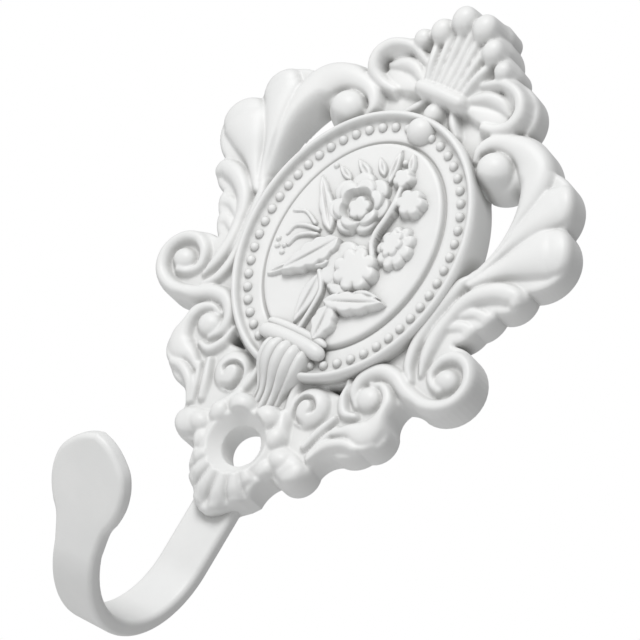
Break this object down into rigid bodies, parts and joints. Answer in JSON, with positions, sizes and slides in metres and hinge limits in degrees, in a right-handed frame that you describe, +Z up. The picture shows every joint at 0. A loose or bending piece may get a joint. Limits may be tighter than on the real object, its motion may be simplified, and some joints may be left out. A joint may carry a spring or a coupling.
{
  "type": "coat hook",
  "caption": "Cast wall hook: an openwork leaf and scroll plaque with an oval flower medallion, a screw hole and one flat bar bent in a J with a rounded paddle end.",
  "frame": {"origin": "axis of the screw hole, on the wall face", "axes": "+Z up as the hook hangs, +X to the viewer's right, -Y into the room; the wall is the plane Y = 0"},
  "size_m": [0.0554, 0.0323, 0.0922],
  "materials": {
    "white_enamel": "glossy white enamel over cast zinc alloy"
  },
  "bodies": {
    "root": {"coat_hook": "white_enamel"}
  },
  "joints": []
}
